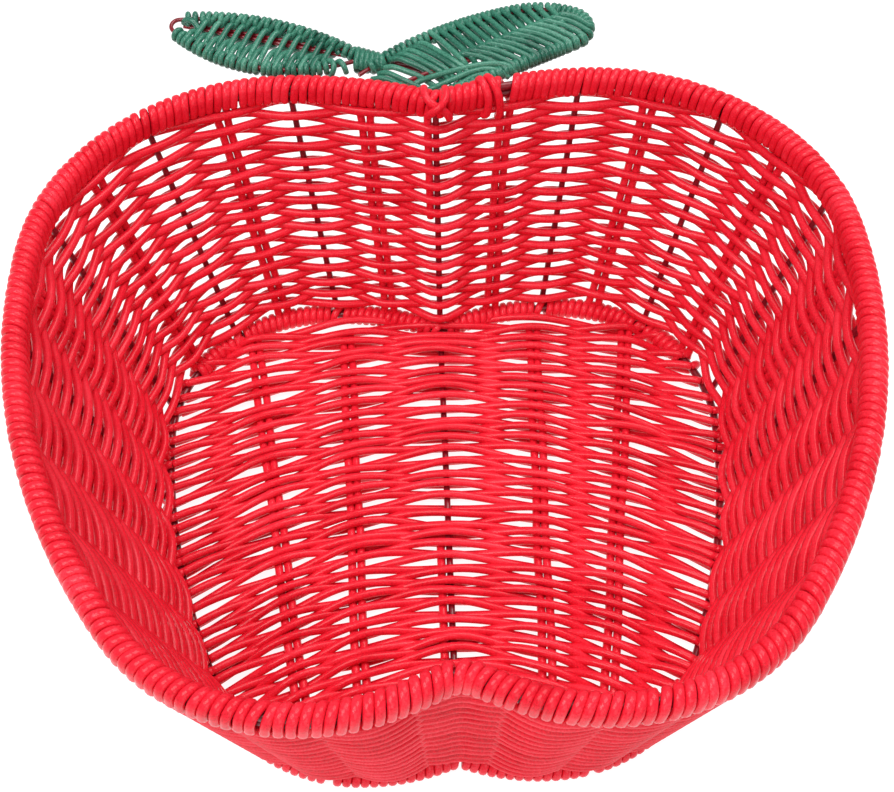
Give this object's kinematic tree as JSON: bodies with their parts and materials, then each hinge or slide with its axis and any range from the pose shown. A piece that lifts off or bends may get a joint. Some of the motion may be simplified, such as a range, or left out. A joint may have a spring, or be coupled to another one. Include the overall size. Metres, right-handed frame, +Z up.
{
  "type": "woven fruit basket",
  "caption": "Open apple-shaped fruit basket of plastic cord woven and wrapped on a welded wire frame, with two cord leaves at the notch of its rim.",
  "frame": {"origin": "on the floor, under the middle of the whole object's box", "axes": "+Z up, +Y towards the notch and the leaves, +X to the right seen from the cleft side"},
  "size_m": [0.2632, 0.2725, 0.0972],
  "materials": {
    "painted_wire": "gloss dark wine-red paint",
    "red_cord": "satin extruded polyethylene cord",
    "green_cord": "satin extruded polyethylene cord"
  },
  "bodies": {
    "root": {"rim_wire_upper": "painted_wire", "rim_wire_lower": "painted_wire", "base_ring_wire": "painted_wire", "wall_rib_01": "painted_wire", "wall_rib_02": "painted_wire", "wall_rib_03": "painted_wire", "wall_rib_04": "painted_wire", "wall_rib_05": "painted_wire", "wall_rib_06": "painted_wire", "wall_rib_07": "painted_wire", "wall_rib_08": "painted_wire", "wall_rib_09": "painted_wire", "wall_rib_10": "painted_wire", "wall_rib_11": "painted_wire", "wall_rib_12": "painted_wire", "wall_rib_13": "painted_wire", "wall_rib_14": "painted_wire", "wall_rib_15": "painted_wire", "wall_rib_16": "painted_wire", "base_rib": "painted_wire", "wall_stake_pair_01": "red_cord", "wall_stake_pair_02": "red_cord", "wall_stake_pair_03": "red_cord", "wall_stake_pair_04": "red_cord", "wall_stake_pair_05": "red_cord", "wall_stake_pair_06": "red_cord", "wall_stake_pair_07": "red_cord", "wall_stake_pair_08": "red_cord", "wall_stake_pair_09": "red_cord", "wall_stake_pair_10": "red_cord", "wall_stake_pair_11": "red_cord", "wall_stake_pair_12": "red_cord", "wall_stake_pair_13": "red_cord", "wall_stake_pair_14": "red_cord", "wall_stake_pair_15": "red_cord", "wall_stake_pair_16": "red_cord", "base_stake_pair_right_inner": "red_cord", "base_stake_pair_right_outer": "red_cord", "base_stake_pair_left_inner": "red_cord", "base_stake_pair_left_outer": "red_cord", "rim_wrap": "red_cord", "base_ring_wrap": "red_cord", "wall_weave": "red_cord", "base_weave": "red_cord", "left_leaf_midrib_and_stem": "painted_wire", "left_leaf_outline_wire": "painted_wire", "right_leaf_midrib": "painted_wire", "right_leaf_outline_wire": "painted_wire", "left_leaf_weave": "green_cord", "right_leaf_weave": "green_cord", "left_leaf_stem_wrap": "green_cord"}
  },
  "joints": []
}
